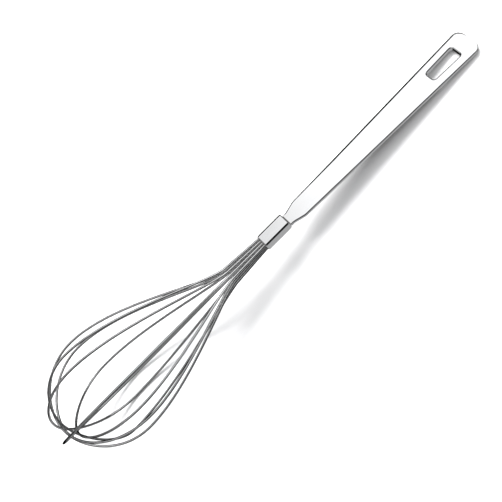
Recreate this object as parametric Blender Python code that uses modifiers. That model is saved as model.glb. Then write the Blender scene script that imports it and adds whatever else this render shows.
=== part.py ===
"""Balloon whisk, all stainless steel, lying on a flat surface.

The whisk is modelled along its own axis: x runs from the balloon's tip (negative) to the handle's
end (positive), with x = 0 at the collar's mouth, y across the handle and z out of the handle's
upper face. The whole tool hangs under one empty, which tilts it until the handle's end and the
lowest wire both touch the surface z = 0. All lengths are in metres and all angles in degrees.
"""

from collections import namedtuple
from math import atan2, cos, hypot, pi, radians, sin, sqrt, tan

import bmesh
import bpy
from mathutils import Matrix, Vector

# Wires
WIRE_DIAMETER = 0.00135
WIRE_PITCH = 0.00162          # spacing of the strands in the collar
WIRE_END_X = 0.0120           # how far the strands run into the collar
NECK_LENGTH = 0.0230          # straight, slightly spreading run below the mouth
NECK_SPREAD = 1.50            # growth of the bundle from the mouth to the neck's end
BEND_HANDLE = 0.0120          # how softly the strands bend away at the neck's end
FLARE_HANDLE = 0.36           # share of the flare's length that runs along the belly
BELLY_HANDLE = 0.60           # share of the nose's length that runs straight on from the belly
TIP_HANDLE = 0.45             # share of the belly's width that the tip's flat bottom takes
BELLY_RADIUS = 0.0312
BELLY_CENTRE = (0.0045, 0.0021)   # the balloon bulges a little off the axis, in y and z
TIP_SHIFT = 1.06              # sideways place of a loop's tip, against the middle of its bellies
CURVE_STEPS = 13              # points along each curved half of a strand

# A strand leaves the bundle at a place on a square grid, counted in pitches from its middle,
# and bulges out at an angle from +z towards +y, widest at belly_x.
Strand = namedtuple("Strand", "place angle belly_x")
Loop = namedtuple("Loop", "first second tip_x")

LOOPS = (
    Loop(Strand((-0.5, 1.5), -24, -0.107), Strand((0.5, -1.5), 157, -0.107), -0.1461),
    Loop(Strand((-1.5, -0.5), -120, -0.110), Strand((1.5, 0.5), 78, -0.110), -0.1443),
    Loop(Strand((0.5, 1.5), 17, -0.112), Strand((-0.5, -1.5), 175, -0.110), -0.1433),
    Loop(Strand((-1.5, 0.5), -76, -0.101), Strand((1.5, -0.5), 94, -0.111), -0.1418),
    Loop(Strand((1.5, 1.5), 35, -0.110), Strand((-1.5, -1.5), -150, -0.120), -0.1402),
    Loop(Strand((-1.5, 1.5), -55, -0.100), Strand((1.5, -1.5), 129, -0.109), -0.1382),
)

# Collar
COLLAR_LENGTH = 0.0170
COLLAR_SIDE = 0.0078
COLLAR_WALL = 0.00055
COLLAR_CORNER = 0.0009
COLLAR_EDGE = 0.00018
GAP = 0.00025                 # between pieces that would touch

# Handle, a flat bar
HANDLE_THICKNESS = 0.0030
HANDLE_DROP = 0.0015          # the bar lies below the collar's axis
HANDLE_EDGE = 0.00036         # rounding along the bar's edges
TANG_WIDTH = 0.0030
TANG_THICKNESS = 0.0011       # thinner than the bar, so the tang is set in from its faces
TANG_DROP = 0.00095           # the tang lies between the wires, just below the axis
TANG_TIP_X = 0.0025
TANG_ROOT = 0.0020            # how far the tang reaches into the bar before they are joined
NECK_X = COLLAR_LENGTH + GAP
NECK_WIDTH = 0.0069
SHOULDER_START_X = 0.0192
SHOULDER_END_X = 0.0262
SHOULDER_WIDTH = 0.0108
SHOULDER_RADIUS = 0.0070
HANDLE_END_X = 0.1525
HANDLE_END_WIDTH = 0.0172
HANDLE_END_BULGE = 0.0007     # how far the end edge stands out in its middle
HANDLE_END_RADIUS = 0.0500
HANDLE_CORNER = 0.0040

# Hang slot
SLOT_START_X = 0.1230
SLOT_LENGTH = 0.0196
SLOT_START_WIDTH = 0.0062
SLOT_END_WIDTH = 0.0073
SLOT_CORNER = 0.0017

# Braze fill between the tang and the collar
FILL_START_X = WIRE_END_X + 0.0005

ARC_STEP = radians(15)
SHARP_ANGLE = radians(50)
TOUCH = 1e-6


def clear_scene():
    for old in list(bpy.data.objects):
        bpy.data.objects.remove(old, do_unlink=True)


def make_collection(name):
    collection = bpy.data.collections.new(name)
    bpy.context.scene.collection.children.link(collection)
    return collection


def steel(name, colour, roughness, metallic=1.0):
    material = bpy.data.materials.new(name)
    material.use_nodes = True
    shader = material.node_tree.nodes["Principled BSDF"]
    shader.inputs["Base Color"].default_value = (*colour, 1.0)
    shader.inputs["Roughness"].default_value = roughness
    shader.inputs["Metallic"].default_value = metallic
    return material


def rounded_outline(corners):
    """Points of a closed outline whose corners (x, y, radius) are rounded by arcs."""
    points = []
    count = len(corners)
    for index, (x, y, radius) in enumerate(corners):
        corner = Vector((x, y))
        before = (Vector(corners[index - 1][:2]) - corner).normalized()
        after = (Vector(corners[(index + 1) % count][:2]) - corner).normalized()
        turn = pi - before.angle(after)
        if radius < TOUCH or turn < radians(1):
            points.append(corner)
            continue
        middle = corner + (before + after).normalized() * (radius / cos(turn / 2))
        start = corner + before * (radius * tan(turn / 2)) - middle
        end = corner + after * (radius * tan(turn / 2)) - middle
        sweep = start.angle_signed(end)
        steps = max(2, round(abs(sweep) / ARC_STEP))
        first = atan2(start.y, start.x)
        for step in range(steps + 1):
            angle = first - sweep * step / steps
            points.append(middle + Vector((cos(angle), sin(angle))) * radius)
    return points


def add_spline(curve, points, cyclic):
    spline = curve.splines.new("POLY")
    spline.points.add(len(points) - 1)
    for point, place in zip(spline.points, points):
        height = place[2] if len(place) == 3 else 0.0
        point.co = (place[0], place[1], height, 1.0)
    spline.use_cyclic_u = cyclic


def add_plate(name, outlines, thickness, material, collection, parent):
    """A flat plate: the first outline is its edge, any other a hole through it."""
    curve = bpy.data.curves.new(name, "CURVE")
    curve.dimensions = "2D"
    curve.fill_mode = "BOTH"
    curve.extrude = thickness / 2
    for outline in outlines:
        add_spline(curve, outline, True)
    curve.materials.append(material)
    plate = bpy.data.objects.new(name, curve)
    collection.objects.link(plate)
    plate.parent = parent
    return plate


def soften_edges(piece, width):
    """Weld the plate's loose faces, then round its sharp edges."""
    weld = piece.modifiers.new("weld", "WELD")
    weld.merge_threshold = TOUCH
    bevel = piece.modifiers.new("edges", "BEVEL")
    bevel.width = width
    bevel.segments = 2
    bevel.limit_method = "ANGLE"
    bevel.angle_limit = SHARP_ANGLE


def mesh_from_curve(piece, collection, parent):
    """The same plate as a closed mesh, which a Boolean can work on."""
    bpy.context.view_layer.update()
    graph = bpy.context.evaluated_depsgraph_get()
    mesh = bpy.data.meshes.new_from_object(piece.evaluated_get(graph))
    shape = bmesh.new()
    shape.from_mesh(mesh)
    bmesh.ops.remove_doubles(shape, verts=shape.verts, dist=TOUCH)
    shape.to_mesh(mesh)
    shape.free()
    name = piece.name
    place = piece.matrix_world.copy()
    bpy.data.objects.remove(piece, do_unlink=True)
    solid = bpy.data.objects.new(name, mesh)
    collection.objects.link(solid)
    solid.parent = parent
    solid.matrix_world = place
    return solid


def add_tang(collection, parent):
    """The flat tang, a guide shape that is joined to the bar."""
    length = NECK_X + TANG_ROOT - TANG_TIP_X
    size = Matrix.Diagonal((length, TANG_WIDTH, TANG_THICKNESS, 1.0))
    shape = bmesh.new()
    bmesh.ops.create_cube(shape, size=1.0, matrix=size)
    mesh = bpy.data.meshes.new("tang")
    shape.to_mesh(mesh)
    shape.free()
    tang = bpy.data.objects.new("tang", mesh)
    collection.objects.link(tang)
    tang.parent = parent
    tang.location = (TANG_TIP_X + length / 2, 0.0, -TANG_DROP)
    tang.hide_render = True
    tang.display_type = "WIRE"
    return tang


def mirrored(half):
    """A closed outline from its +y half, given as (x, y, radius) from low x to high x."""
    other = [(x, -y, radius) for x, y, radius in reversed(half) if y > TOUCH]
    return half + other


def handle_half_width(x):
    """Half the bar's width along its straight taper."""
    share = (x - SHOULDER_END_X) / (HANDLE_END_X - SHOULDER_END_X)
    return (SHOULDER_WIDTH + share * (HANDLE_END_WIDTH - SHOULDER_WIDTH)) / 2


def make_handle(collection, guides, parent):
    corner_x = HANDLE_END_X - HANDLE_END_BULGE
    half = [
        (NECK_X, NECK_WIDTH / 2, HANDLE_EDGE),
        (SHOULDER_START_X, NECK_WIDTH / 2, SHOULDER_RADIUS),
        (SHOULDER_END_X, SHOULDER_WIDTH / 2, SHOULDER_RADIUS),
        (corner_x, handle_half_width(corner_x), HANDLE_CORNER),
        (HANDLE_END_X, 0.0, HANDLE_END_RADIUS),
    ]
    slot_end_x = SLOT_START_X + SLOT_LENGTH
    slot = [
        (SLOT_START_X, SLOT_START_WIDTH / 2, SLOT_CORNER),
        (slot_end_x, SLOT_END_WIDTH / 2, SLOT_CORNER),
    ]
    outlines = [rounded_outline(mirrored(half)), rounded_outline(mirrored(slot))]
    material = steel("handle_steel", (0.86, 0.86, 0.87), 0.16)
    bar = add_plate("handle", outlines, HANDLE_THICKNESS, material, collection, parent)
    bar.location.z = -HANDLE_DROP
    handle = mesh_from_curve(bar, collection, parent)
    soften_edges(handle, HANDLE_EDGE)
    union = handle.modifiers.new("tang", "BOOLEAN")
    union.operation = "UNION"
    union.object = add_tang(guides, parent)
    return handle


def square_outline(side, radius):
    half = side / 2
    corners = [(-half, half), (half, half), (half, -half), (-half, -half)]
    return rounded_outline([(x, y, radius) for x, y in corners])


def stand_along_axis(piece, start_x, length):
    """Turn a plate so that its thickness runs along x from start_x."""
    piece.rotation_euler = (0.0, radians(90), 0.0)
    piece.location = (start_x + length / 2, 0.0, 0.0)


def make_collar(collection, parent):
    inner = COLLAR_SIDE - 2 * COLLAR_WALL
    outlines = [
        square_outline(COLLAR_SIDE, COLLAR_CORNER),
        square_outline(inner, COLLAR_CORNER - COLLAR_WALL),
    ]
    material = steel("collar_steel", (0.84, 0.84, 0.85), 0.20)
    collar = add_plate("collar", outlines, COLLAR_LENGTH, material, collection, parent)
    stand_along_axis(collar, 0.0, COLLAR_LENGTH)
    soften_edges(collar, COLLAR_EDGE)
    return collar


def make_braze_fill(collection, parent):
    side = COLLAR_SIDE - 2 * COLLAR_WALL - 2 * GAP
    top = TANG_DROP - TANG_THICKNESS / 2 - GAP
    bottom = TANG_DROP + TANG_THICKNESS / 2 + GAP
    edge = TANG_WIDTH / 2 + GAP
    hole = [Vector(corner) for corner in ((top, edge), (bottom, edge), (bottom, -edge), (top, -edge))]
    length = COLLAR_LENGTH - FILL_START_X
    outlines = [square_outline(side, COLLAR_CORNER - COLLAR_WALL), hole]
    material = steel("braze_metal", (0.72, 0.69, 0.62), 0.45)
    fill = add_plate("braze_fill", outlines, length, material, collection, parent)
    stand_along_axis(fill, FILL_START_X, length)
    return fill


def belly_point(strand):
    """The widest point of a strand, on a circle that is centred a little off the axis."""
    out_y = sin(radians(strand.angle))
    out_z = cos(radians(strand.angle))
    along = BELLY_CENTRE[0] * out_y + BELLY_CENTRE[1] * out_z
    aside = BELLY_CENTRE[0] * out_z - BELLY_CENTRE[1] * out_y
    reach = along + sqrt(BELLY_RADIUS ** 2 - aside ** 2)
    return Vector((strand.belly_x, out_y * reach, out_z * reach))


def bezier(start, start_handle, end_handle, end):
    """Points of a cubic curve, without its last one."""
    points = []
    for step in range(CURVE_STEPS):
        t = step / CURVE_STEPS
        s = 1.0 - t
        blend = start * s ** 3 + start_handle * (3 * s * s * t)
        points.append(blend + end_handle * (3 * s * t * t) + end * t ** 3)
    return points


def strand_points(strand, tip, tip_direction):
    """One strand from its end in the collar to just before the loop's tip."""
    axis = Vector((1.0, 0.0, 0.0))
    place = Vector((0.0, strand.place[0], strand.place[1])) * WIRE_PITCH
    neck_end = place * NECK_SPREAD - axis * NECK_LENGTH
    lean = (neck_end - place).normalized()
    belly = belly_point(strand)
    flare = neck_end.x - belly.x
    nose = belly.x - tip.x
    width = hypot(belly.y - tip.y, belly.z - tip.z)
    points = [place + axis * WIRE_END_X, place]
    points += bezier(neck_end, neck_end + lean * BEND_HANDLE, belly + axis * flare * FLARE_HANDLE, belly)
    nose_handle = belly - axis * nose * BELLY_HANDLE
    points += bezier(belly, nose_handle, tip + tip_direction * width * TIP_HANDLE, tip)
    return points


def loop_points(loop):
    """The centreline of a wire loop, from one end in the collar round the tip to the other."""
    first = belly_point(loop.first)
    second = belly_point(loop.second)
    tip = (first + second) / 2 * TIP_SHIFT
    tip.x = loop.tip_x
    across = first - second
    across.x = 0.0
    across.normalize()
    out = strand_points(loop.first, tip, across)
    back = strand_points(loop.second, tip, -across)
    return out + [tip] + back[::-1]


def make_wire_loop(number, loop, material, collection, parent):
    name = f"wire_loop_{number}"
    curve = bpy.data.curves.new(name, "CURVE")
    curve.dimensions = "3D"
    curve.bevel_depth = WIRE_DIAMETER / 2
    curve.bevel_resolution = 2
    curve.use_fill_caps = True
    add_spline(curve, loop_points(loop), False)
    curve.splines[0].use_smooth = True
    curve.materials.append(material)
    wire = bpy.data.objects.new(name, curve)
    collection.objects.link(wire)
    wire.parent = parent
    return wire


def rest_tilt():
    """Angle that lays the handle's end edge and the lowest wire on one surface."""
    heel_x = HANDLE_END_X - HANDLE_END_BULGE
    heel_z = -HANDLE_DROP - HANDLE_THICKNESS / 2
    tilt = 0.0
    for loop in LOOPS:
        for point in loop_points(loop):
            drop = heel_z - (point.z - WIRE_DIAMETER / 2)
            tilt = max(tilt, atan2(drop, heel_x - point.x))
    return tilt


def lay_on_surface(whisk, pieces):
    """Move the tool so that its box stands on z = 0 with the origin under its middle."""
    bpy.context.view_layer.update()
    graph = bpy.context.evaluated_depsgraph_get()
    low = Vector((1.0, 1.0, 1.0))
    high = -low
    for piece in pieces:
        evaluated = piece.evaluated_get(graph)
        mesh = evaluated.to_mesh()
        for vertex in mesh.vertices:
            place = evaluated.matrix_world @ vertex.co
            low = Vector(map(min, low, place))
            high = Vector(map(max, high, place))
        evaluated.to_mesh_clear()
    whisk.location = (-(low.x + high.x) / 2, -(low.y + high.y) / 2, -low.z)


def main():
    clear_scene()
    collection = make_collection("balloon_whisk")
    guides = make_collection("guides")
    whisk = bpy.data.objects.new("whisk_axis", None)
    whisk.empty_display_size = 0.02
    whisk.rotation_euler = (0.0, rest_tilt(), 0.0)
    collection.objects.link(whisk)
    pieces = [
        make_handle(collection, guides, whisk),
        make_collar(collection, whisk),
        make_braze_fill(collection, whisk),
    ]
    wire_steel = steel("wire_steel", (0.78, 0.78, 0.79), 0.22)
    for number, loop in enumerate(LOOPS, start=1):
        pieces.append(make_wire_loop(number, loop, wire_steel, collection, whisk))
    lay_on_surface(whisk, pieces)


main()
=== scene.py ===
"""Looks of a stainless balloon whisk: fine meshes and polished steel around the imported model.

Shapes are worked out in the whisk's own axes and then laid in the row's frame by TOOL. In those
axes x runs from the balloon's tip to the handle's end with x = 0 at the collar's mouth, y runs
across the handle and z out of its upper face. Lengths are in metres, and the strands' angles in
degrees.
"""

from collections import namedtuple
from math import atan2, cos, hypot, pi, radians, sin, sqrt, tan

import bmesh
import bpy
from mathutils import Matrix, Vector


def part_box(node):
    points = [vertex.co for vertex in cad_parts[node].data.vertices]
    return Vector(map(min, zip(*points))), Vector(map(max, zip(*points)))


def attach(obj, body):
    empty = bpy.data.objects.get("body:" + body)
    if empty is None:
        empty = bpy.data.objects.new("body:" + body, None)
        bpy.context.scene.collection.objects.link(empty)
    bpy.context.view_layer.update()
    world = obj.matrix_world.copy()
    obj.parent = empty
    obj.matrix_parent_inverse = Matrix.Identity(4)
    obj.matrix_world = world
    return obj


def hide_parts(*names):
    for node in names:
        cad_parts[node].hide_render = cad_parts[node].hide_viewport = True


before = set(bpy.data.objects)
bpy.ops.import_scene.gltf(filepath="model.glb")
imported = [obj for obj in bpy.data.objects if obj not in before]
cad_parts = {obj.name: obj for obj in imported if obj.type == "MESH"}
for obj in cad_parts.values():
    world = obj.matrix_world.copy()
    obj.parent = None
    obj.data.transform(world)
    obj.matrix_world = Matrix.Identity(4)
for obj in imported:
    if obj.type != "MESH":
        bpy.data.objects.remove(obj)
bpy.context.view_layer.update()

# Wires, as in the CAD source
WIRE_DIAMETER = 0.00135
WIRE_PITCH = 0.00162
WIRE_END_X = 0.0120
NECK_LENGTH = 0.0230
NECK_SPREAD = 1.50
BEND_HANDLE = 0.0120
FLARE_HANDLE = 0.36
BELLY_HANDLE = 0.60
TIP_HANDLE = 0.45
BELLY_RADIUS = 0.0312
BELLY_CENTRE = (0.0045, 0.0021)
TIP_SHIFT = 1.06

Strand = namedtuple("Strand", "place angle belly_x")
Loop = namedtuple("Loop", "first second tip_x")

LOOPS = (
    Loop(Strand((-0.5, 1.5), -24, -0.107), Strand((0.5, -1.5), 157, -0.107), -0.1461),
    Loop(Strand((-1.5, -0.5), -120, -0.110), Strand((1.5, 0.5), 78, -0.110), -0.1443),
    Loop(Strand((0.5, 1.5), 17, -0.112), Strand((-0.5, -1.5), 175, -0.110), -0.1433),
    Loop(Strand((-1.5, 0.5), -76, -0.101), Strand((1.5, -0.5), 94, -0.111), -0.1418),
    Loop(Strand((1.5, 1.5), 35, -0.110), Strand((-1.5, -1.5), -150, -0.120), -0.1402),
    Loop(Strand((-1.5, 1.5), -55, -0.100), Strand((1.5, -1.5), 129, -0.109), -0.1382),
)

# Collar and handle, as in the CAD source but for the collar's corner
COLLAR_LENGTH = 0.0170
COLLAR_SIDE = 0.0078
COLLAR_WALL = 0.00055
COLLAR_CORNER = 0.00135       # rounder here than in the CAD source
GAP = 0.00025
HANDLE_THICKNESS = 0.0030
HANDLE_DROP = 0.0015
HANDLE_EDGE = 0.00036
TANG_WIDTH = 0.0030
TANG_THICKNESS = 0.0011
TANG_DROP = 0.00095
TANG_TIP_X = 0.0025
TANG_ROOT = 0.0020
NECK_X = COLLAR_LENGTH + GAP
NECK_WIDTH = 0.0069
SHOULDER_START_X = 0.0192
SHOULDER_END_X = 0.0262
SHOULDER_WIDTH = 0.0108
SHOULDER_RADIUS = 0.0070
HANDLE_END_X = 0.1525
HANDLE_END_WIDTH = 0.0172
HANDLE_END_BULGE = 0.0007
HANDLE_END_RADIUS = 0.0500
HANDLE_CORNER = 0.0040
SLOT_START_X = 0.1230
SLOT_LENGTH = 0.0196
SLOT_START_WIDTH = 0.0062
SLOT_END_WIDTH = 0.0073
SLOT_CORNER = 0.0017

# Fineness of the visible meshes and modelling tolerances
ARC_STEP = radians(6)
CURVE_STEPS = 60
TUBE_SIDES_RESOLUTION = 6
EDGE_SEGMENTS = 4
ROLL_STEPS = 8
OUTLINE_STEP = 0.003
SHARP_ANGLE = radians(50)
STRAIGHT = radians(1)          # outline corners that turn less than this stay plain
TOUCH = 1e-6

# Rolled edges of the handle and collar, each as its reach across the face and down the side
ROLL_POWER = 1.6                     # 1 rolls as an ellipse, 2 as a flat chamfer
BAR_ROLL_FAR = (0.00130, 0.00070)    # along the handle's +y side
BAR_ROLL_NEAR = (0.00038, 0.00060)   # along its -y side
SHOULDER_ROLL = (0.00070, 0.00045)   # along the +y side by the shoulder
ROLL_GROWTH = (0.025, 0.058)         # x between which the shoulder's roll grows to the +y side's
NECK_ROLL = (0.0003, 0.0003)         # at the neck's square end
END_ROLL = (0.0001, 0.0001)          # at the middle of the end edge
END_ROLL_REACH = (0.0025, 0.0062)    # distances from the axis between which the end's roll grows
SLOT_ROLL = (0.0007, 0.0004)
COLLAR_RIM_OUTER = (0.00045, 0.00060)
COLLAR_RIM_INNER = (0.00010, 0.00010)

# Looks of the metals and the floor; a noise scale is per metre, as one number or as (x, y, z)
HANDLE_STEEL = dict(tone=0.92, roughness=0.09, lines=2400.0, line_depth=0.000006)
COLLAR_STEEL = dict(tone=0.92, roughness=0.08, lines=2800.0, line_depth=0.000006)
LINES_SCALE_X = 18.0
CLOUD_SCALE = (40.0, 110.0, 110.0)
SCRATCH_SCALE = (90.0, 2600.0, 2600.0)
SCRATCH_NOISE = (0.66, 0.70)   # noise values over which a scratch sets in
WEAR_AND_HIGHLIGHT_EDGE = (0.52, 0.60)       # pointiness over which wear and a painted edge highlight set in
WIRE_GRAIN_SCALE = 5200.0
WIRE_TONE_SCALE = (55.0, 200.0, 200.0)
WIRE_TONES = (0.58, 0.73)
# painted highlight: the lighter wire tone in the neck
NECK_HIGHLIGHT_TONE = 0.93
NECK_HIGHLIGHT_X_RANGE = (-0.055, -0.025)      # where a painted highlight lightens the wires towards the collar
RUBBED_X_RANGE = (-0.125, -0.146)    # where they turn duller towards the tip
STAINED_X_RANGE = (-0.004, 0.003)    # where they turn darker in the collar's mouth
STAIN_TONE = 0.46
BRAZE_LUMP_SCALE = 900.0
BRAZE_TARNISH_SCALE = 350.0
FLOOR_COLOUR = (0.90, 0.90, 0.905, 1.0)
FLOOR_ROUGHNESS = 0.9

# View
VIEW_DISTANCE = 0.420
VIEW_LEAN = radians(25)        # from the handle's normal towards its -y side
VIEW_CENTRE = (-0.0072, 0.00156, 0.00073)    # what the camera looks at, in the whisk's axes
VIEW_WIDTH = 0.262             # what the picture spans at that point
IMAGE_TURN = radians(45)       # the whisk's axis climbs to the right
SENSOR_WIDTH = 36.0
CLIP_START = 0.01

# Floor and lamps
FLOOR_RADIUS = 4.0
FLOOR_SIDES = 96
FLOOR_DROP = 0.00005           # keeps the floor clear of the whisk's lowest points
KEY = dict(direction=(0.26, 0.75, 1.0), distance=1.2, size=(0.80, 0.62), power=23.5)
FILL = dict(direction=(0.0, 0.0, 1.0), distance=1.6, size=(6.0, 6.0), power=50.0)

# The studio in the world background, which the steel reflects and which lights the rest a little.
# X, Y and Z are the parts of a direction in the row's axes, "along" and "across" are X and Y over
# Z, and "skew" is the size of X times Y. A zone is given as its level and then its soft edges, and
# an edge as (which of these, value on the dark side, value on the bright side).
LEAST_HEIGHT = 0.02            # the smallest Z that along and across are taken over
SKY_COLOUR = (0.985, 0.99, 1.0, 1.0)
BASE_LEVEL = 0.008             # from every direction
BACKDROP_LEVEL = 1.2           # added where the camera itself looks past the floor
PANEL_LEVEL = 0.84             # of the soft panel overhead
PANEL_FADE = (-1.5, -0.2)      # "along" between which it grows from nothing
PANEL_STEP_LEVEL = 0.42        # added to the panel on its side towards the handle's end
PANEL_STEP = (0.14, 0.26)      # "along" between which that is added
PANEL_EDGES = (("across", -0.45, -0.30), ("across", 0.95, 0.75), ("along", 1.05, 0.95))
END_WALL = (0.12, ("X", 0.62, 0.78), ("Z", -0.5, -0.3))
TIP_WALL = (0.20, ("X", -0.72, -0.88), ("Z", 0.18, 0.32))
CORNERS = (0.20, ("skew", 0.26, 0.36), ("Z", -0.35, -0.2))
TABLE = (0.41, ("Y", 0.05, -0.15), ("Z", -0.38, -0.60))


# ---------------------------------------------------------------- outlines, wire paths and placing

def rounded_outline(corners):
    """Points of a closed outline whose corners (x, y, radius) are rounded by arcs."""
    points = []
    count = len(corners)
    for index, (x, y, radius) in enumerate(corners):
        corner = Vector((x, y))
        before = (Vector(corners[index - 1][:2]) - corner).normalized()
        after = (Vector(corners[(index + 1) % count][:2]) - corner).normalized()
        turn = pi - before.angle(after)
        if radius < TOUCH or turn < STRAIGHT:
            points.append(corner)
            continue
        middle = corner + (before + after).normalized() * (radius / cos(turn / 2))
        start = corner + before * (radius * tan(turn / 2)) - middle
        end = corner + after * (radius * tan(turn / 2)) - middle
        sweep = start.angle_signed(end)
        steps = max(2, round(abs(sweep) / ARC_STEP))
        first = atan2(start.y, start.x)
        for step in range(steps + 1):
            angle = first - sweep * step / steps
            points.append(middle + Vector((cos(angle), sin(angle))) * radius)
    return points


def belly_point(strand):
    """The widest point of a strand, on a circle that is centred a little off the axis."""
    out_y = sin(radians(strand.angle))
    out_z = cos(radians(strand.angle))
    along = BELLY_CENTRE[0] * out_y + BELLY_CENTRE[1] * out_z
    aside = BELLY_CENTRE[0] * out_z - BELLY_CENTRE[1] * out_y
    reach = along + sqrt(BELLY_RADIUS ** 2 - aside ** 2)
    return Vector((strand.belly_x, out_y * reach, out_z * reach))


def bezier(start, start_handle, end_handle, end):
    """Points of a cubic curve, without its last one."""
    points = []
    for step in range(CURVE_STEPS):
        t = step / CURVE_STEPS
        s = 1.0 - t
        blend = start * s ** 3 + start_handle * (3 * s * s * t)
        points.append(blend + end_handle * (3 * s * t * t) + end * t ** 3)
    return points


def strand_points(strand, tip, tip_direction):
    """One strand from its end in the collar to just before the loop's tip."""
    axis = Vector((1.0, 0.0, 0.0))
    place = Vector((0.0, strand.place[0], strand.place[1])) * WIRE_PITCH
    neck_end = place * NECK_SPREAD - axis * NECK_LENGTH
    lean = (neck_end - place).normalized()
    belly = belly_point(strand)
    flare = neck_end.x - belly.x
    nose = belly.x - tip.x
    width = hypot(belly.y - tip.y, belly.z - tip.z)
    points = [place + axis * WIRE_END_X, place]
    bend_handle = neck_end + lean * BEND_HANDLE
    points += bezier(neck_end, bend_handle, belly + axis * flare * FLARE_HANDLE, belly)
    nose_handle = belly - axis * nose * BELLY_HANDLE
    points += bezier(belly, nose_handle, tip + tip_direction * width * TIP_HANDLE, tip)
    return points


def loop_points(loop):
    """The centreline of a wire loop, from one end in the collar round the tip to the other."""
    first = belly_point(loop.first)
    second = belly_point(loop.second)
    tip = (first + second) / 2 * TIP_SHIFT
    tip.x = loop.tip_x
    across = first - second
    across.x = 0.0
    across.normalize()
    out = strand_points(loop.first, tip, across)
    back = strand_points(loop.second, tip, -across)
    return out + [tip] + back[::-1]


def tool_placement():
    """The whisk's own axes in the row: tilted as it lies, with the collar where it was packed."""
    low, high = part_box("collar")
    middle = (low + high) / 2
    heel_x = HANDLE_END_X - HANDLE_END_BULGE
    heel_z = -HANDLE_DROP - HANDLE_THICKNESS / 2
    tilt = 0.0
    for loop in LOOPS:
        for point in loop_points(loop):
            drop = heel_z - (point.z - WIRE_DIAMETER / 2)
            tilt = max(tilt, atan2(drop, heel_x - point.x))
    turn = Matrix.Rotation(tilt, 4, "Y")
    centre = turn @ Vector((COLLAR_LENGTH / 2, 0.0, 0.0))
    return Matrix.Translation(middle - centre) @ turn


TOOL = tool_placement()
TO_TOOL = TOOL.inverted()


# ---------------------------------------------------------------- materials

class Nodes:
    """A small helper that builds one node tree."""

    def __init__(self, tree):
        self.tree = tree
        self.count = 0

    def add(self, kind, inputs=None, **settings):
        node = self.tree.nodes.new(kind)
        node.location = (-220 * self.count, -120 * (self.count % 5))
        self.count += 1
        for name, value in settings.items():
            setattr(node, name, value)
        for name, value in (inputs or {}).items():
            if isinstance(value, bpy.types.NodeSocket):
                self.tree.links.new(value, node.inputs[name])
            else:
                node.inputs[name].default_value = value
        return node

    def tool_place(self):
        """The shaded point in the whisk's own axes."""
        inputs = {
            "Vector": self.add("ShaderNodeTexCoord").outputs["Object"],
            "Location": tuple(TO_TOOL.translation),
            "Rotation": tuple(TO_TOOL.to_euler()),
        }
        return self.add("ShaderNodeMapping", inputs).outputs["Vector"]

    def noise(self, vector, scale, detail=3.0, roughness=0.5):
        inputs = {"Vector": vector, "Scale": scale, "Detail": detail, "Roughness": roughness}
        return self.add("ShaderNodeTexNoise", inputs).outputs["Fac"]

    def stretched(self, vector, scale):
        return self.add("ShaderNodeMapping", {"Vector": vector, "Scale": scale}).outputs["Vector"]

    def remap(self, value, from_min, from_max, to_min=0.0, to_max=1.0):
        inputs = {"Value": value, "From Min": from_min, "From Max": from_max,
                  "To Min": to_min, "To Max": to_max}
        return self.add("ShaderNodeMapRange", inputs).outputs["Result"]

    def math(self, operation, first, second=0.0):
        node = self.add("ShaderNodeMath", operation=operation)
        for socket, value in zip(node.inputs, (first, second)):
            if isinstance(value, bpy.types.NodeSocket):
                self.tree.links.new(value, socket)
            else:
                socket.default_value = value
        return node.outputs["Value"]

    def blend(self, factor, first, second):
        """Mix two colours by a factor."""
        node = self.add("ShaderNodeMix", data_type="RGBA")
        for name, value in (("Factor", factor), ("A", first), ("B", second)):
            socket = next(s for s in node.inputs if s.name == name and s.enabled)
            if isinstance(value, bpy.types.NodeSocket):
                self.tree.links.new(value, socket)
            else:
                socket.default_value = value
        return next(s for s in node.outputs if s.enabled)


def new_material(name):
    material = bpy.data.materials.new(name)
    material.use_nodes = True
    nodes = Nodes(material.node_tree)
    shader = material.node_tree.nodes["Principled BSDF"]
    return nodes, shader, material


def grey(value, warmth=0.0):
    return (value * (1 + warmth), value, value * (1 - warmth), 1.0)


def finish_metal(nodes, shader, colour, rough, relief, metallic):
    """Wire colour, roughness and relief (height, strength, depth) into a metal's shader."""
    height, strength, depth = relief
    bump = nodes.add("ShaderNodeBump", {"Strength": strength, "Distance": depth, "Height": height})
    nodes.tree.links.new(colour, shader.inputs["Base Color"])
    nodes.tree.links.new(rough, shader.inputs["Roughness"])
    nodes.tree.links.new(bump.outputs["Normal"], shader.inputs["Normal"])
    shader.inputs["Metallic"].default_value = metallic


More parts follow.
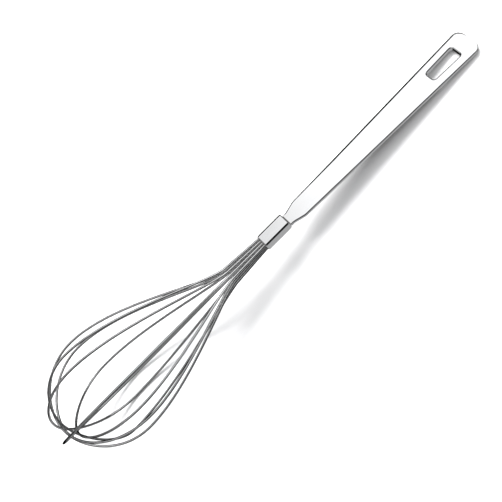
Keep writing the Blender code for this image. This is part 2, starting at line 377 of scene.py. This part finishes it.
def polished_steel(name, tone, roughness, lines, line_depth):
    """Polished stainless: lengthwise polishing lines, cloudy smears, scratches, and worn edges
    that are rougher and carry a painted highlight.
    """
    nodes, shader, material = new_material(name)
    place = nodes.tool_place()
    fine = nodes.noise(nodes.stretched(place, (LINES_SCALE_X, lines, lines)), 1.0, 4.0, 0.6)
    cloud = nodes.noise(nodes.stretched(place, CLOUD_SCALE), 1.0, 3.0)
    scratch = nodes.noise(nodes.stretched(place, SCRATCH_SCALE), 1.0, 1.0)
    scratch = nodes.remap(scratch, *SCRATCH_NOISE)
    edge = nodes.add("ShaderNodeNewGeometry").outputs["Pointiness"]
    # mask of the pointy edges: rougher from wear, and lighter by a painted highlight
    wear_and_highlight = nodes.remap(edge, *WEAR_AND_HIGHLIGHT_EDGE)

    rough = nodes.remap(fine, 0.3, 0.7, roughness * 0.75, roughness * 1.25)
    rough = nodes.math("ADD", rough, nodes.remap(cloud, 0.35, 0.7, -0.02, 0.05))
    rough = nodes.math("ADD", rough, nodes.math("MULTIPLY", scratch, 0.10))
    rough = nodes.math("ADD", rough, nodes.math("MULTIPLY", wear_and_highlight, 0.05))
    colour = nodes.blend(cloud, grey(tone * 0.96, 0.004), grey(tone, -0.004))
    # painted highlight: a lighter colour along pointy edges, beside the rougher wear added above
    colour = nodes.blend(nodes.math("MULTIPLY", wear_and_highlight, 0.5), colour, grey(min(1.0, tone * 1.08)))
    height = nodes.math("ADD", fine, nodes.math("MULTIPLY", scratch, -0.7))
    finish_metal(nodes, shader, colour, rough, (height, 0.35, line_depth), 1.0)
    return material


def wire_steel():
    """Drawn wire: tiny pits, uneven tone, a painted highlight that lightens the neck, duller where
    it rubs the bowl.
    """
    nodes, shader, material = new_material("wire_steel")
    place = nodes.tool_place()
    grain = nodes.noise(place, WIRE_GRAIN_SCALE, 3.0, 0.6)
    tone = nodes.noise(nodes.stretched(place, WIRE_TONE_SCALE), 1.0, 3.0)
    along = nodes.add("ShaderNodeSeparateXYZ", {"Vector": place}).outputs["X"]
    rubbed = nodes.remap(along, *RUBBED_X_RANGE)
    stained = nodes.remap(along, *STAINED_X_RANGE)
    # mask of the painted highlight in the neck
    bright = nodes.remap(along, *NECK_HIGHLIGHT_X_RANGE)

    rough = nodes.remap(grain, 0.3, 0.7, 0.06, 0.12)
    rough = nodes.math("ADD", rough, nodes.math("MULTIPLY", rubbed, 0.08))
    rough = nodes.math("ADD", rough, nodes.math("MULTIPLY", stained, 0.10))
    colour = nodes.blend(tone, *(grey(value) for value in WIRE_TONES))
    # painted highlight: blends the wires to a lighter tone in the neck
    colour = nodes.blend(bright, colour, grey(NECK_HIGHLIGHT_TONE))
    colour = nodes.blend(nodes.math("MULTIPLY", stained, 0.6), colour, grey(STAIN_TONE, 0.05))
    finish_metal(nodes, shader, colour, rough, (grain, 0.25, 0.00002), 1.0)
    return material


def braze_metal():
    """Dull braze metal with a lumpy, slightly tarnished surface."""
    nodes, shader, material = new_material("braze_metal")
    place = nodes.add("ShaderNodeTexCoord").outputs["Object"]
    lumps = nodes.noise(place, BRAZE_LUMP_SCALE, 4.0, 0.55)
    tarnish = nodes.remap(nodes.noise(place, BRAZE_TARNISH_SCALE, 3.0), 0.35, 0.65)
    colour = nodes.blend(tarnish, grey(0.62, 0.06), grey(0.38, 0.12))
    rough = nodes.remap(lumps, 0.3, 0.7, 0.32, 0.58)
    finish_metal(nodes, shader, colour, rough, (lumps, 0.6, 0.0002), 0.9)
    return material


# ---------------------------------------------------------------- pieces

def add_spline(curve, points):
    """Add an open run of straight steps through the points."""
    spline = curve.splines.new("POLY")
    spline.points.add(len(points) - 1)
    for point, place in zip(spline.points, points):
        point.co = (*place, 1.0)
    spline.use_smooth = True


def link(piece):
    bpy.context.scene.collection.objects.link(piece)
    return piece


def divided(outline):
    """The outline with its long straight runs cut into steps."""
    points = []
    for index, point in enumerate(outline):
        start = outline[index - 1]
        steps = max(1, round((point - start).length / OUTLINE_STEP))
        points += [start.lerp(point, step / steps) for step in range(steps)]
    return points


def inward_normals(outline):
    """Unit normals to the left of an outline that is walked anticlockwise."""
    normals = []
    for index in range(len(outline)):
        run = outline[(index + 1) % len(outline)] - outline[index - 1]
        normals.append(Vector((-run.y, run.x)).normalized())
    return normals


def is_clockwise(outline):
    area = 0.0
    for index, point in enumerate(outline):
        area += outline[index - 1].cross(point)
    return area < 0


def rolled_side(shape, outline, thickness, roll, inward):
    """Side wall of a plate with rolled edges; returns the edge loops of its two flat faces.

    roll gives a point's reach across the face and down the side. inward is 1 where the face lies
    to the left of the outline, and -1 where it lies to the right.
    """
    normals = inward_normals(outline)
    angles = [radians(90) * step / ROLL_STEPS for step in range(ROLL_STEPS + 1)]
    levels = [(-1, angle) for angle in reversed(angles)] + [(1, angle) for angle in angles]
    rings = []
    for side, angle in levels:
        ring = []
        for point, normal in zip(outline, normals):
            across, down = roll(point)
            place = point + normal * (inward * across * (1 - max(0.0, cos(angle)) ** ROLL_POWER))
            height = side * (thickness / 2 - down * (1 - sin(angle) ** ROLL_POWER))
            ring.append(shape.verts.new((place.x, place.y, height)))
        rings.append(ring)
    for lower, upper in zip(rings, rings[1:]):
        for index in range(len(lower)):
            corners = (lower[index - 1], lower[index], upper[index], upper[index - 1])
            face = shape.faces.new(corners)
            face.smooth = True
    sharp = [rings[0], rings[ROLL_STEPS], rings[ROLL_STEPS + 1], rings[-1]]
    for ring in sharp:
        for index in range(len(ring)):
            shape.edges.get((ring[index - 1], ring[index])).smooth = False
    ends = []
    for ring in (rings[0], rings[-1]):
        pairs = zip(ring[-1:] + ring[:-1], ring)
        ends.append([shape.edges.get(pair) for pair in pairs])
    return ends


def plate_mesh(name, outlines, thickness, outer_roll, inner_roll):
    """A flat plate with rolled edges: the first outline is its edge, the second a hole."""
    outlines = [divided(outline) for outline in outlines]
    for outline in outlines:
        if is_clockwise(outline):
            outline.reverse()
    shape = bmesh.new()
    outer = rolled_side(shape, outlines[0], thickness, outer_roll, 1)
    inner = rolled_side(shape, outlines[1], thickness, inner_roll, -1)
    for edges in zip(outer, inner):
        bmesh.ops.triangle_fill(shape, use_beauty=True, edges=edges[0] + edges[1])
    bmesh.ops.recalc_face_normals(shape, faces=shape.faces)
    mesh = bpy.data.meshes.new(name)
    shape.to_mesh(mesh)
    shape.free()
    return mesh


def round_edges(piece, width):
    """Round a piece's sharp edges with a live bevel."""
    bevel = piece.modifiers.new("edges", "BEVEL")
    bevel.width = width
    bevel.segments = EDGE_SEGMENTS
    bevel.limit_method = "ANGLE"
    bevel.angle_limit = SHARP_ANGLE
    bevel.harden_normals = True
    piece.data.shade_smooth()


def finish_piece(piece, node, material):
    """Give a piece its material and slot, put it on the body and let it stand for its CAD node."""
    piece.data.materials.clear()
    piece.data.materials.append(material)
    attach(piece, "root")
    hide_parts(node)


def handle_half_width(x):
    """Half the bar's width along its straight taper."""
    share = (x - SHOULDER_END_X) / (HANDLE_END_X - SHOULDER_END_X)
    return (SHOULDER_WIDTH + share * (HANDLE_END_WIDTH - SHOULDER_WIDTH)) / 2


def mirrored(half):
    """A closed outline from its +y half, given as (x, y, radius) from low x to high x."""
    other = [(x, -y, radius) for x, y, radius in reversed(half) if y > TOUCH]
    return half + other


def share_between(value, low, high):
    """How far a value has come from low to high, held between 0 and 1."""
    return min(1.0, max(0.0, (value - low) / (high - low)))


def mixed(first, second, share):
    """A pair of numbers the given share of the way from the first pair to the second."""
    return [low + share * (high - low) for low, high in zip(first, second)]


def bar_roll(point):
    """Full edge roll along the bar, small ones at the neck's square end and mid end edge."""
    grown = share_between(point.x, *ROLL_GROWTH)
    far = mixed(SHOULDER_ROLL, BAR_ROLL_FAR, grown)
    full = mixed(BAR_ROLL_NEAR, far, share_between(point.y, -NECK_WIDTH / 4, NECK_WIDTH / 4))
    if point.x < HANDLE_END_X - 2 * HANDLE_CORNER:
        share = share_between(point.x, NECK_X + HANDLE_EDGE, SHOULDER_START_X + HANDLE_EDGE)
        least = NECK_ROLL
    else:
        share = share_between(abs(point.y), *END_ROLL_REACH)
        least = END_ROLL
    return mixed(least, full, share)


def make_handle():
    corner_x = HANDLE_END_X - HANDLE_END_BULGE
    half = [
        (NECK_X, NECK_WIDTH / 2, HANDLE_EDGE),
        (SHOULDER_START_X, NECK_WIDTH / 2, SHOULDER_RADIUS),
        (SHOULDER_END_X, SHOULDER_WIDTH / 2, SHOULDER_RADIUS),
        (corner_x, handle_half_width(corner_x), HANDLE_CORNER),
        (HANDLE_END_X, 0.0, HANDLE_END_RADIUS),
    ]
    slot_end_x = SLOT_START_X + SLOT_LENGTH
    slot = [
        (SLOT_START_X, SLOT_START_WIDTH / 2, SLOT_CORNER),
        (slot_end_x, SLOT_END_WIDTH / 2, SLOT_CORNER),
    ]
    outlines = [rounded_outline(mirrored(half)), rounded_outline(mirrored(slot))]
    mesh = plate_mesh("handle_bar", outlines, HANDLE_THICKNESS, bar_roll, lambda point: SLOT_ROLL)
    mesh.transform(TOOL @ Matrix.Translation((0.0, 0.0, -HANDLE_DROP)))
    bar = link(bpy.data.objects.new("handle_bar", mesh))
    length = NECK_X + TANG_ROOT - TANG_TIP_X
    shape = bmesh.new()
    size = Matrix.Diagonal((length, TANG_WIDTH, TANG_THICKNESS, 1.0))
    bmesh.ops.create_cube(shape, size=1.0, matrix=size)
    bmesh.ops.translate(shape, verts=shape.verts, vec=(TANG_TIP_X + length / 2, 0.0, -TANG_DROP))
    tang_mesh = bpy.data.meshes.new("handle_tang")
    shape.to_mesh(tang_mesh)
    shape.free()
    tang_mesh.transform(TOOL)
    tang = link(bpy.data.objects.new("handle_tang", tang_mesh))
    round_edges(tang, HANDLE_EDGE)
    steel = polished_steel("handle_steel", **HANDLE_STEEL)
    finish_piece(bar, "handle", steel)
    finish_piece(tang, "handle", steel)


def square_outline(side, radius):
    half = side / 2
    corners = [(-half, half), (half, half), (half, -half), (-half, -half)]
    return rounded_outline([(x, y, radius) for x, y in corners])


def along_axis(length):
    """Placement that turns a plate's thickness along x, starting at x = 0."""
    turn = Matrix.Rotation(radians(90), 4, "Y")
    return Matrix.Translation((length / 2, 0.0, 0.0)) @ turn


def make_collar():
    inner = COLLAR_SIDE - 2 * COLLAR_WALL
    outlines = [
        square_outline(COLLAR_SIDE, COLLAR_CORNER),
        square_outline(inner, COLLAR_CORNER - COLLAR_WALL),
    ]
    rims = (lambda point: COLLAR_RIM_OUTER, lambda point: COLLAR_RIM_INNER)
    mesh = plate_mesh("collar_tube", outlines, COLLAR_LENGTH, *rims)
    mesh.transform(TOOL @ along_axis(COLLAR_LENGTH))
    collar = link(bpy.data.objects.new("collar_tube", mesh))
    steel = polished_steel("collar_steel", **COLLAR_STEEL)
    finish_piece(collar, "collar", steel)


def make_wires():
    steel = wire_steel()
    for number, loop in enumerate(LOOPS, start=1):
        name = f"wire_{number}"
        curve = bpy.data.curves.new(name, "CURVE")
        curve.dimensions = "3D"
        curve.bevel_depth = WIRE_DIAMETER / 2
        curve.bevel_resolution = TUBE_SIDES_RESOLUTION
        curve.use_fill_caps = True
        add_spline(curve, [TOOL @ point for point in loop_points(loop)])
        wire = link(bpy.data.objects.new(name, curve))
        finish_piece(wire, f"wire_loop_{number}", steel)


def finish_braze():
    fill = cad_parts["braze_fill"]
    fill.data.materials.clear()
    fill.data.materials.append(braze_metal())


# ---------------------------------------------------------------- studio

def make_floor():
    """A plain pale floor, which is hidden from reflections in the steel."""
    place = (0.0, 0.0, -FLOOR_DROP)
    bpy.ops.mesh.primitive_circle_add(
        vertices=FLOOR_SIDES, radius=FLOOR_RADIUS, fill_type="NGON", location=place
    )
    floor = bpy.context.object
    floor.name = "floor"
    _, shader, material = new_material("floor_paper")
    shader.inputs["Base Color"].default_value = FLOOR_COLOUR
    shader.inputs["Roughness"].default_value = FLOOR_ROUGHNESS
    shader.inputs["Specular IOR Level"].default_value = 0.0
    floor.data.materials.append(material)
    floor.visible_glossy = False


def area_light(name, direction, distance, size, power):
    """A rectangular lamp that faces the origin from a direction."""
    light = bpy.data.lights.new(name, "AREA")
    light.shape = "RECTANGLE"
    light.size, light.size_y = size
    light.energy = power
    lamp = link(bpy.data.objects.new(name, light))
    away = Vector(direction).normalized()
    lamp.location = away * distance
    lamp.rotation_euler = away.to_track_quat("Z", "Y").to_euler()
    return lamp


def soft_edge(nodes, value, dark, bright):
    """0 on the dark side and 1 on the bright side, with a smooth change between them."""
    inputs = {"Value": value, "From Min": dark, "From Max": bright}
    edge = nodes.add("ShaderNodeMapRange", inputs, interpolation_type="SMOOTHSTEP")
    return edge.outputs["Result"]


def make_world():
    """A dark studio for the steel to reflect, fixed in the row's axes.

    A soft panel hangs overhead, and a pale table lies low on the -y side. A dim wall stands beyond
    the handle's end, a high one beyond the balloon's tip, and dim light comes from the corners
    between. The camera sees a plain bright backdrop past the floor, which the steel doesn't.
    """
    world = bpy.data.worlds.new("studio")
    bpy.context.scene.world = world
    world.use_nodes = True
    nodes = Nodes(world.node_tree)
    background = world.node_tree.nodes["Background"]
    direction = nodes.add("ShaderNodeTexCoord").outputs["Generated"]
    parts = nodes.add("ShaderNodeSeparateXYZ", {"Vector": direction}).outputs
    values = {"X": parts["X"], "Y": parts["Y"], "Z": parts["Z"]}
    height = nodes.math("MAXIMUM", parts["Z"], LEAST_HEIGHT)
    values["across"] = nodes.math("DIVIDE", parts["Y"], height)
    values["along"] = nodes.math("DIVIDE", parts["X"], height)
    values["skew"] = nodes.math("ABSOLUTE", nodes.math("MULTIPLY", parts["X"], parts["Y"]))

    def inside(edges):
        """1 inside all the soft edges and 0 outside."""
        share = 1.0
        for which, dark, bright in edges:
            share = nodes.math("MULTIPLY", soft_edge(nodes, values[which], dark, bright), share)
        return share

    fade = nodes.remap(values["along"], *PANEL_FADE, 0.0, PANEL_LEVEL)
    step = nodes.remap(values["along"], *PANEL_STEP, 0.0, PANEL_STEP_LEVEL)
    light = nodes.math("MULTIPLY", nodes.math("ADD", fade, step), inside(PANEL_EDGES))
    for level, *edges in (END_WALL, TIP_WALL, CORNERS):
        light = nodes.math("MAXIMUM", light, nodes.math("MULTIPLY", inside(edges), level))
    level, *edges = TABLE
    light = nodes.math("ADD", light, nodes.math("MULTIPLY", inside(edges), level))
    light = nodes.math("ADD", light, BASE_LEVEL)
    rays = nodes.add("ShaderNodeLightPath").outputs
    backdrop = nodes.math("MULTIPLY", rays["Is Camera Ray"], BACKDROP_LEVEL)
    light = nodes.math("ADD", light, backdrop)
    world.node_tree.links.new(light, background.inputs["Strength"])
    background.inputs["Color"].default_value = SKY_COLOUR


def make_lights():
    """Two soft lamps that light the floor; they are hidden from reflections in the steel."""
    key = area_light("key", **KEY)
    key.visible_glossy = False
    fill = area_light("fill", **FILL)
    fill.visible_glossy = False
    fill.visible_camera = False


def make_camera():
    """The camera at the photo's angle, leaning to the handle's -y side."""
    camera = bpy.data.cameras.new("camera")
    camera.sensor_width = SENSOR_WIDTH
    camera.lens = SENSOR_WIDTH * VIEW_DISTANCE / VIEW_WIDTH
    camera.clip_start = CLIP_START
    eye = link(bpy.data.objects.new("camera", camera))
    towards = Vector((0.0, -sin(VIEW_LEAN), cos(VIEW_LEAN)))
    along = Vector((1.0, 0.0, 0.0))
    aside = along.cross(towards)
    right = along * cos(IMAGE_TURN) + aside * sin(IMAGE_TURN)
    up = along * sin(IMAGE_TURN) - aside * cos(IMAGE_TURN)
    place = Vector(VIEW_CENTRE) + towards * VIEW_DISTANCE
    axes = Matrix((right, up, towards)).transposed().to_4x4()
    eye.matrix_world = TOOL @ Matrix.Translation(place) @ axes
    bpy.context.scene.camera = eye


make_handle()
make_collar()
make_wires()
finish_braze()
make_floor()
make_world()
make_lights()
make_camera()
bpy.context.scene.view_settings.view_transform = "Standard"
